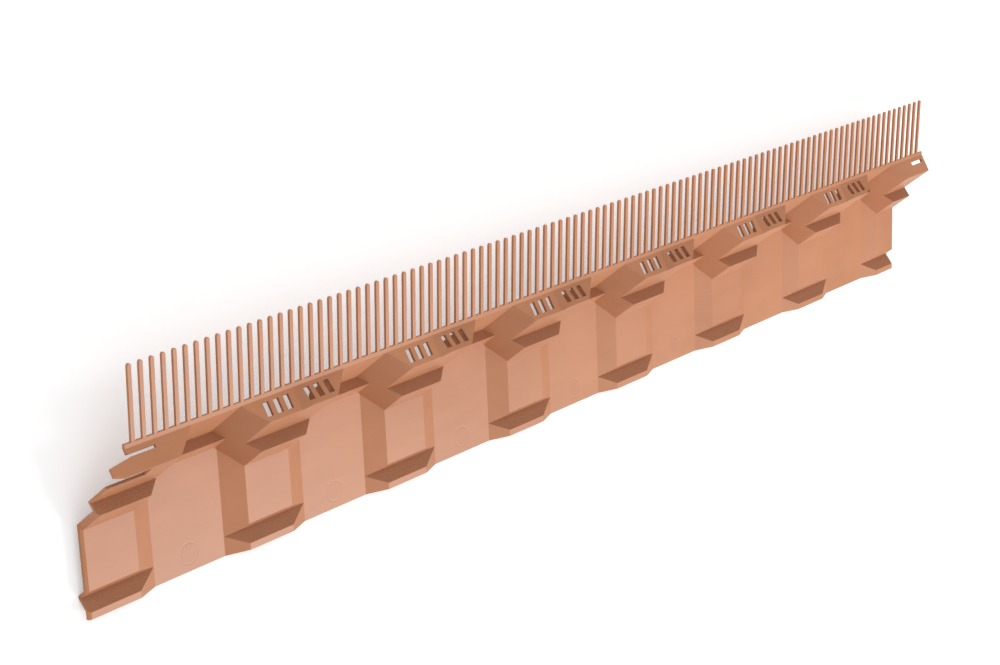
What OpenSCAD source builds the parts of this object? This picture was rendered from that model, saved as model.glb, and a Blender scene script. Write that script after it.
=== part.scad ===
// Eaves ventilation profile: a stepped strip of seven bays with a bird comb along its top edge.
// It lies on its back: +X runs along the strip, +Y points to the comb tips, the face looks along +Z.
// The origin is under the middle of the strip's outline, on the plane that its back lies on.
// The section is drawn upright, as y to the back and z up, from the floor of the comb gaps.

/* [Strip] */
// Length that one strip covers along the eaves
cover_length = 1000; // [800:1:1200]
// Number of bays in the cover length
bays = 7; // [4:1:9]
// Wall thickness of the moulding
wall = 2; // [1.5:0.1:3]
// Length that laps under the next strip at the left end
lap_left = 23.5; // [15:0.5:32]
// Length that laps over the next strip at the right end
lap_right = 10; // [6:1:20]

/* [Comb] */
// Number of comb teeth in one bay
teeth_per_bay = 15; // [8:1:18]
// Distance from the first tooth to the start of the cover length
first_tooth = 5; // [3:0.5:8]
// Width of one comb tooth
tooth_width = 3.2; // [2.5:0.1:4]
// Thickness of one comb tooth
tooth_thick = 1.8; // [1.2:0.1:2.5]
// Length of the comb teeth above the flange
tooth_length = 52; // [35:1:70]
// Forward lean of the comb teeth in degrees
tooth_lean = 3.3; // [0:0.1:8]

/* [Section] */
// Slope of the roofs of the steps below the level in degrees
draw_angle = 36.87; // [32:0.1:42]
// Distance from the comb floor to the first roof, square to the slope
band_drop = 2.6; // [2.2:0.1:4]
// Distance along the slope to the flange face
flange_face = 1.5; // [1:0.1:2]
// Distance along the slope to the first ledge between the blocks
bay_ledge = 40.5; // [34:0.5:46]
// Distance from the comb floor to the second roof between the blocks
bay_roof = 10.6; // [9:0.1:14]
// Setback of the wide panels between the blocks
wide_setback = 38.1; // [35:0.1:41]
// Distance from the comb floor to the underside of the blocks
nose_drop = 19.4; // [17:0.1:22]
// Distance along the slope to the nose of the left half of a block
left_nose = 4; // [2:0.1:5]
// Distance along the slope to the nose of the right half of a block
right_nose = 0.4; // [0:0.1:1.4]
// Distance along the slope to the ledge under a block
block_ledge = 37.1; // [33:0.1:40]
// Distance from the comb floor to the brow above the narrow panel
brow_drop = 29; // [26:0.1:32]
// Setback of the narrow panels under the blocks
narrow_setback = 31.2; // [29:0.1:33]
// Distance from the comb floor to the roof of the groove in the narrow panel
groove_drop = 63; // [58:0.5:68]
// Distance along the slope to the ledge under the groove
groove_ledge = 94.9; // [90:0.1:98]
// Height from the comb floor to the foot of the strip
foot_drop = 121.5; // [115:0.5:130]

/* [Blocks] */
// Half width of a block at the level of the comb floor
block_half = 52; // [48:0.5:56]
// Narrowing of a block side for each millimetre of drop
block_taper = 1.06; // [0.9:0.01:1.2]
// Half width of a narrow panel at its foot on the wide panels
foot_half = 39.3; // [34:0.1:44]
// Width over which the step between the halves of a block comes forward
step_width = 7; // [5:0.5:9]

/* [Slots] */
// Number of air slots in each half of a block
slots = 3; // [1:1:3]
// Width of one air slot
slot_width = 5.2; // [4:0.1:6]
// Distance from the comb floor to the top of the air slots
slot_top = 5.4; // [4.5:0.1:7]
// Distance from the comb floor to the bottom of the air slots
slot_bottom = 15.6; // [12:0.1:16]

/* [Ends] */
// Distance that the flange sticks out beyond the start of the cover length
flange_out = 2.5; // [1:0.1:4]
// Height of the slot above the tongue
lap_gap = 2.2; // [1.8:0.1:3]
// Distance from the comb floor to the top of the slot above the tongue
lap_top = 6; // [5:0.1:7]
// Length of the slot above the tongue inside the cover length
lap_slot = 21; // [15:0.5:26]
// Height of the tongue at its tip
tongue_tip = 6; // [4:0.1:8]
// Length of the cut under the tongue inside the cover length
under_slot = 13; // [8:0.5:16]
// Distance along the slope to the far edge of the cut under the tongue
under_edge = 16; // [10:0.5:20]
// Length of the catch hole at the right end
catch_length = 19; // [12:0.5:24]
// Height of the catch hole at the right end
catch_height = 3.5; // [2.5:0.1:5]

/* [Hidden] */
bay = cover_length / bays;
tooth_pitch = bay / teeth_per_bay;
teeth = bays * teeth_per_bay + 1;
start_x = first_tooth - lap_left;
end_x = cover_length + first_tooth + lap_right;
foot_z = -foot_drop;
back_y = wide_setback + wall;
tip_radius = tooth_width / 2;
half_wall = wall / 2;
tip_z = (half_wall + tooth_length) * cos(tooth_lean) + tooth_thick / 2 * sin(tooth_lean) - half_wall;
left_slope = (left_nose - flange_face) / (nose_drop - band_drop);
right_slope = (right_nose - flange_face) / (nose_drop - band_drop);
left_tilt = atan(left_slope);
step_rise = (left_nose - right_nose) / step_width;
narrow_half = block_half - block_taper * brow_drop;
panel_taper = (foot_half - narrow_half) / (wide_setback - narrow_setback);
reach = 40;
cut = 1;

// Upright y and z of a point at distance d along the slope and e square to it
function at(d, e) = [
    d * cos(draw_angle) - e * sin(draw_angle),
    -d * sin(draw_angle) - e * cos(draw_angle)
];

// Distance along the slope at which drop e meets setback y
function along(y, e) = (y + e * sin(draw_angle)) / cos(draw_angle);

// Upright y and z of the point on drop e at setback y
function meet(y, e) = at(along(y, e), e);

// Distance along the slope of a block face at drop e, moved inwards by inset
function face(e, slope, inset) = flange_face + (e - band_drop) * slope + inset * sqrt(1 + slope * slope);

// Half width of a block at drop e, moved inwards by inset
function half(e, inset) = block_half - block_taper * e - inset * sqrt(1 + block_taper * block_taper);

// Half width of a narrow panel at setback y, moved inwards by inset
function panel(y, inset) = narrow_half + panel_taper * (y - narrow_setback)
    - inset * sqrt(1 + panel_taper * panel_taper);

// Stands a drawing of upright y and z along X
module along_x(from, to) {
    rotate([90, 0, 90])
        translate([0, 0, from])
            linear_extrude(height = to - from)
                children();
}

// Stands a drawing of X and drop e along the slope
module along_slope(from, to) {
    rotate([-90 - draw_angle, 0, 0])
        translate([0, 0, from])
            linear_extrude(height = to - from)
                children();
}

// Constant wall of the bays: first roof, ledge, second roof and wide panel
module bay_wall() {
    along_x(start_x - cut, end_x + cut)
        polygon([
            at(flange_face, band_drop),
            at(bay_ledge, band_drop),
            at(bay_ledge, bay_roof),
            meet(wide_setback, bay_roof),
            [wide_setback, foot_z - cut],
            [back_y, foot_z - cut],
            meet(back_y, bay_roof - wall),
            at(bay_ledge + wall, bay_roof - wall),
            at(bay_ledge + wall, band_drop - wall),
            at(flange_face, band_drop - wall)
        ]);
}

// Side view of the upper part of a block behind a face of this slope
module upper_view(slope, inset, back) {
    top = inset > 0 ? -reach : band_drop - half_wall;
    roof = inset > 0 ? -reach : bay_roof - half_wall;
    polygon([
        at(face(top, slope, inset), top),
        at(face(nose_drop - inset, slope, inset), nose_drop - inset),
        at(block_ledge + inset, nose_drop - inset),
        at(block_ledge + inset, brow_drop - inset),
        meet(back, brow_drop - inset),
        meet(back, roof),
        at(bay_ledge + half_wall, roof),
        at(bay_ledge + half_wall, top)
    ]);
}

// Region in front of the left half of a block, bounded by the step between the halves
module left_front(inset) {
    shift = inset * sqrt(1 + step_rise * step_rise) / step_rise;
    rotate([-90 - draw_angle, 0, 0])
        translate([0, band_drop, flange_face])
            rotate([left_tilt - 90, 0, 0])
                translate([0, 0, -2 * reach])
                    linear_extrude(height = 4 * reach)
                        polygon([
                            [-2 * reach, -inset],
                            [shift - inset / step_rise, -inset],
                            [shift + reach / step_rise, reach],
                            [-2 * reach, reach]
                        ]);
}

// Upper part of a block; where stepped is true, its right half stands proud of the left one
module upper_block(stepped, inset, back) {
    high = inset > 0 ? -reach : 0;
    low = brow_drop - inset;
    width = half(high, inset);
    difference() {
        intersection() {
            along_slope(-reach, 3 * reach)
                polygon([
                    [-width, high],
                    [width, high],
                    [half(low, inset), low],
                    [-half(low, inset), low]
                ]);
            along_x(-width - cut, width + cut)
                upper_view(stepped ? right_slope : left_slope, inset, back);
        }
        if (stepped)
            left_front(inset);
    }
}

// Lower part of a block: narrow panel, groove and bottom ledge
module lower_block(inset, back, foot) {
    front = narrow_setback + inset;
    top = meet(wide_setback, bay_roof)[1];
    intersection() {
        translate([0, 0, foot])
            linear_extrude(height = top - foot)
                polygon([
                    [-panel(front, inset), front],
                    [panel(front, inset), front],
                    [panel(back, inset), back],
                    [-panel(back, inset), back]
                ]);
        along_x(-2 * reach, 2 * reach)
            union() {
                polygon([
                    [front, top],
                    meet(front, groove_drop - inset),
                    meet(back, groove_drop - inset),
                    [back, top]
                ]);
                polygon([
                    at(groove_ledge + inset, 0),
                    at(groove_ledge + inset, 2 * foot_drop),
                    at(2 * groove_ledge, 2 * foot_drop),
                    at(2 * groove_ledge, 0)
                ]);
            }
    }
}

// One whole block, moved inwards by inset
module block(stepped, inset, back, foot) {
    upper_block(stepped, inset, back);
    lower_block(inset, back, foot);
}

// Air slots of one half of a block
module slot_row(side) {
    along_slope(-reach / 2, block_ledge / 2)
        for (i = [1 : slots])
            translate([side * i * tooth_pitch - slot_width / 2, slot_top])
                square([slot_width, slot_bottom - slot_top]);
}

// Flange above the blocks and the first roof
module flange() {
    lip = at(flange_face, band_drop);
    back = lip[0] + wall;
    along_x(-flange_out, end_x)
        polygon([lip, [lip[0], 0], [back, 0], meet(back, band_drop - half_wall)]);
}

// Comb of teeth that leans forward from the middle of the flange
module comb() {
    shank = half_wall + tooth_length - tip_radius;
    translate([first_tooth, at(flange_face, band_drop)[0] + half_wall, -half_wall])
        rotate([90 + tooth_lean, 0, 0])
            linear_extrude(height = tooth_thick, center = true)
                for (i = [0 : teeth - 1])
                    translate([i * tooth_pitch, 0]) {
                        translate([-tip_radius, 0])
                            square([tooth_width, shank]);
                        translate([0, shank])
                            circle(r = tip_radius);
                    }
}

// Cuts that shape the tongue of the left end
module left_cuts() {
    tongue_top = lap_top + lap_gap;
    tip_top = (tongue_top + nose_drop - tongue_tip) / 2;
    tip_low = tip_top + tongue_tip;
    along_slope(-reach, under_edge)
        polygon([
            [start_x - cut, -reach],
            [-flange_out, -reach],
            [-flange_out, lap_top],
            [lap_slot, lap_top],
            [lap_slot, tongue_top],
            [0, tongue_top],
            [start_x, tip_top],
            [start_x - cut, tip_top]
        ]);
    along_slope(-reach, left_nose + wall)
        polygon([
            [start_x - cut, tip_low],
            [start_x, tip_low],
            [start_x / 2, nose_drop],
            [start_x / 2, nose_drop + cut],
            [start_x - cut, nose_drop + cut]
        ]);
    along_slope(left_nose + wall, under_edge)
        translate([start_x - cut, nose_drop - wall - cut])
            square([under_slot - start_x + cut, wall + 2 * cut]);
}

// Catch hole for the tongue of the next strip
module catch_hole() {
    along_slope(-reach / 2, block_ledge / 2)
        translate([cover_length + first_tooth * 2 - catch_length, lap_top])
            square([catch_length, catch_height]);
}

// Whole strip, upright
module upright_strip() {
    difference() {
        intersection() {
            union() {
                bay_wall();
                for (i = [0 : bays])
                    translate([first_tooth + i * bay, 0, 0])
                        block(i > 0 && i < bays, 0, wide_setback + half_wall, foot_z - cut);
            }
            translate([start_x, -reach, foot_z])
                cube([end_x - start_x, 3 * reach, foot_drop + reach]);
        }
        for (i = [0 : bays])
            translate([first_tooth + i * bay, 0, 0])
                block(i > 0 && i < bays, wall, back_y + reach, foot_z - reach);
        for (i = [1 : bays - 1])
            translate([first_tooth + i * bay, 0, 0]) {
                slot_row(-1);
                slot_row(1);
            }
        left_cuts();
        catch_hole();
    }
    flange();
    comb();
}

module ventilation_profile() {
    color("#bd7a50")
        translate([-(start_x + end_x) / 2, -(foot_z + tip_z) / 2, back_y])
            rotate([-90, 0, 0])
                upright_strip();
}

ventilation_profile();
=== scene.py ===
import math

import bpy
from mathutils import Matrix, Vector

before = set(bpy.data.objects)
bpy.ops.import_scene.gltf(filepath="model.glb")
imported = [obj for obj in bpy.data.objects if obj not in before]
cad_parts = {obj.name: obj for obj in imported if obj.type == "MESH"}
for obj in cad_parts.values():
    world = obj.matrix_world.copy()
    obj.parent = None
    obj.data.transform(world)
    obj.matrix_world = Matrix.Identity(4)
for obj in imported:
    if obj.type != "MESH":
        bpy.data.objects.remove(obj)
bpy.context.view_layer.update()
scene = bpy.context.scene
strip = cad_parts["ventilation_profile"]

# Section, in metres, in the axes of the CAD: y to the back and z up from the comb floor
BACK_Y = 0.0401
COMB_FLOOR = 0.034768
SLOPE_Y, SLOPE_Z = 0.8, -0.6
BAY = 1.0 / 7.0
FIRST_PANEL = 0.07643 - 0.49825
MARK_HEIGHT = -0.1085 + COMB_FLOOR
MARK_RADIUS = 0.0077


class Nodes:
    """Short ways to add and link shader nodes."""

    def __init__(self, material):
        material.use_nodes = True
        self.tree = material.node_tree
        self.tree.nodes.clear()

    def add(self, kind, inputs=None, **props):
        node = self.tree.nodes.new(kind)
        for name, value in props.items():
            setattr(node, name, value)
        for key, value in (inputs or {}).items():
            socket = node.inputs[key]
            if isinstance(value, bpy.types.NodeSocket):
                self.tree.links.new(value, socket)
            else:
                socket.default_value = value
        return node

    def math(self, operation, a, b=0.0, c=0.0, clamp=False):
        node = self.add("ShaderNodeMath", {0: a, 1: b, 2: c}, operation=operation, use_clamp=clamp)
        return node.outputs[0]

    def ramp(self, value, low, high):
        node = self.add("ShaderNodeMapRange", {"Value": value, "From Min": low, "From Max": high},
                        interpolation_type="SMOOTHSTEP")
        return node.outputs["Result"]

    def noise(self, vector, scale, detail=2.0, roughness=0.5):
        node = self.add("ShaderNodeTexNoise", {"Vector": vector, "Scale": scale, "Detail": detail,
                                               "Roughness": roughness})
        return node.outputs["Fac"]

    def mix(self, factor, a, b, blend="MIX"):
        node = self.add("ShaderNodeMix", {0: factor, 6: a, 7: b}, data_type="RGBA", blend_type=blend)
        return node.outputs[2]


def moulded_plastic():
    """Matt terracotta plastic: even on the panels; on the ledges greyer and grained, and darker partly as painted
    shade.
    """
    material = bpy.data.materials.new("terracotta_plastic")
    n = Nodes(material)
    coords = n.add("ShaderNodeTexCoord").outputs["Object"]
    split = n.add("ShaderNodeSeparateXYZ", {0: coords})
    x, y, z = split.outputs
    geometry = n.add("ShaderNodeNewGeometry")
    up_y = n.math("SUBTRACT", BACK_Y, z)
    up_z = n.math("SUBTRACT", y, COMB_FLOOR)
    along = n.math("ADD", n.math("MULTIPLY", up_y, SLOPE_Y), n.math("MULTIPLY", up_z, SLOPE_Z))
    facing = n.add("ShaderNodeVectorMath",
                   {0: geometry.outputs["True Normal"], 1: (0.0, -SLOPE_Z, SLOPE_Y)},
                   operation="DOT_PRODUCT").outputs["Value"]
    ledge = n.math("MULTIPLY", n.ramp(facing, 0.985, 0.998), n.ramp(along, 0.005, 0.008))

    # Faint round marks at the foot of the wide panels
    panel = n.math("SUBTRACT", x, FIRST_PANEL)
    cell = n.math("SUBTRACT", panel, n.math("MULTIPLY", n.math("ROUND", n.math("DIVIDE", panel, BAY)), BAY))
    drop = n.math("SUBTRACT", y, MARK_HEIGHT)
    reach = n.math("SQRT", n.math("ADD", n.math("MULTIPLY", cell, cell), n.math("MULTIPLY", drop, drop)))
    inside = n.math("SUBTRACT", 1.0, n.ramp(reach, MARK_RADIUS - 0.0012, MARK_RADIUS + 0.0004))
    ring = n.math("SUBTRACT", 1.0, n.ramp(n.math("ABSOLUTE", n.math("SUBTRACT", reach, MARK_RADIUS)), 0.0, 0.0009))

    wide = n.noise(coords, 9.0, 3.0, 0.55)
    flow = n.noise(n.add("ShaderNodeVectorMath", {0: coords, 1: (14.0, 60.0, 60.0)},
                         operation="MULTIPLY").outputs[0], 1.0, 3.0, 0.6)
    fine = n.noise(coords, 2600.0, 2.0, 0.6)
    grain = n.noise(coords, 1500.0, 3.0, 0.75)
    base = n.mix(n.ramp(wide, 0.3, 0.7), (0.475, 0.188, 0.082, 1.0), (0.53, 0.215, 0.098, 1.0))
    base = n.mix(n.math("MULTIPLY", n.ramp(flow, 0.35, 0.75), 0.35), base, (0.57, 0.25, 0.125, 1.0))
    base = n.mix(n.math("MULTIPLY", fine, 0.16), base, (0.40, 0.15, 0.062, 1.0))
    base = n.mix(n.math("MULTIPLY", inside, 0.10), base, (0.36, 0.14, 0.06, 1.0))
    # Ledge colour: the greyer grained finish is the plastic's own; its extra darkness against the panels is partly
    # painted shade.
    frosted_and_shaded = n.mix(n.ramp(grain, 0.35, 0.68), (0.27, 0.108, 0.05, 1.0), (0.42, 0.18, 0.088, 1.0))
    colour = n.mix(n.math("MULTIPLY", ledge, 0.85), base, frosted_and_shaded)

    rough = n.math("ADD", n.math("MULTIPLY", wide, 0.10), 0.40)
    rough = n.math("ADD", rough, n.math("MULTIPLY", ledge, 0.22))
    edge = n.add("ShaderNodeBevel", {"Radius": 0.0005}, samples=4)
    height = n.math("MULTIPLY", fine, 0.00002)
    height = n.math("ADD", height, n.math("MULTIPLY", n.math("MULTIPLY", grain, ledge), 0.00012))
    height = n.math("ADD", height, n.math("MULTIPLY", flow, 0.00010))
    height = n.math("SUBTRACT", height, n.math("MULTIPLY", ring, 0.00008))
    bump = n.add("ShaderNodeBump", {"Height": height, "Strength": 0.7, "Distance": 1.0,
                                    "Normal": edge.outputs["Normal"]})
    shader = n.add("ShaderNodeBsdfPrincipled", {
        "Base Color": colour, "Roughness": rough, "IOR": 1.49, "Normal": bump.outputs["Normal"],
        "Subsurface Weight": 0.0,
    })
    output = n.add("ShaderNodeOutputMaterial")
    n.tree.links.new(shader.outputs[0], output.inputs["Surface"])
    return material


def floor_material():
    """Pale matt floor, near white to the camera and soft to everything else."""
    material = bpy.data.materials.new("studio_floor")
    n = Nodes(material)
    coords = n.add("ShaderNodeTexCoord").outputs["Object"]
    speck = n.noise(coords, 3.0, 2.0, 0.5)
    colour = n.mix(speck, (0.86, 0.86, 0.86, 1.0), (0.90, 0.90, 0.90, 1.0))
    diffuse = n.add("ShaderNodeBsdfDiffuse", {"Color": colour, "Roughness": 1.0})
    glow = n.add("ShaderNodeEmission", {"Color": (1.0, 1.0, 1.0, 1.0), "Strength": FLOOR_GLOW})
    ray = n.add("ShaderNodeLightPath")
    seen = n.add("ShaderNodeAddShader", {0: diffuse.outputs[0], 1: glow.outputs[0]})
    pick = n.add("ShaderNodeMixShader", {0: ray.outputs["Is Camera Ray"], 1: diffuse.outputs[0],
                                         2: seen.outputs[0]})
    output = n.add("ShaderNodeOutputMaterial")
    n.tree.links.new(pick.outputs[0], output.inputs["Surface"])
    return material


def area_light(name, place, target, size, watts, colour=(1.0, 1.0, 1.0)):
    data = bpy.data.lights.new(name, "AREA")
    data.shape = "DISK"
    data.size = size
    data.energy = watts
    data.color = colour
    light = bpy.data.objects.new(name, data)
    light.location = place
    light.rotation_euler = (Vector(target) - Vector(place)).to_track_quat("-Z", "Y").to_euler()
    scene.collection.objects.link(light)
    return light


FLOOR_GLOW = 0.35

strip.material_slots[0].material = moulded_plastic()

floor_mesh = bpy.data.meshes.new("studio_floor")
FLOOR_HALF = 14.0
floor_mesh.from_pydata([(-FLOOR_HALF, -FLOOR_HALF, 0.0), (FLOOR_HALF, -FLOOR_HALF, 0.0),
                        (FLOOR_HALF, FLOOR_HALF, 0.0), (-FLOOR_HALF, FLOOR_HALF, 0.0)], [], [(0, 1, 2, 3)])
floor = bpy.data.objects.new("studio_floor", floor_mesh)
floor.location = (0.0, 0.0, -0.0002)
floor_mesh.materials.append(floor_material())
scene.collection.objects.link(floor)

world = bpy.data.worlds.new("studio")
world.use_nodes = True
world.node_tree.nodes["Background"].inputs["Color"].default_value = (1.0, 1.0, 1.0, 1.0)
world.node_tree.nodes["Background"].inputs["Strength"].default_value = 0.62
scene.world = world

area_light("key", (1.5, -1.7, 1.9), (0.15, 0.0, 0.0), 1.4, 62.0)
area_light("fill", (-0.9, 1.9, 2.2), (0.0, 0.0, 0.0), 2.4, 14.0)

camera_data = bpy.data.cameras.new("camera")
camera_data.sensor_width = 36.0
camera_data.lens = 77.915
camera_data.clip_end = 100.0
camera = bpy.data.objects.new("camera", camera_data)
forward = Vector((0.73447, -0.280811, -0.617819)).normalized()
upward = Vector((0.242149, 0.95889, -0.147965))
across = forward.cross(upward).normalized()
upward = across.cross(forward).normalized()
camera.matrix_world = Matrix.Translation((-1.32976, 0.47313, 1.04901)) @ Matrix((
    (across.x, upward.x, -forward.x, 0.0),
    (across.y, upward.y, -forward.y, 0.0),
    (across.z, upward.z, -forward.z, 0.0),
    (0.0, 0.0, 0.0, 1.0)))
scene.collection.objects.link(camera)
scene.camera = camera
scene.view_settings.view_transform = "Standard"
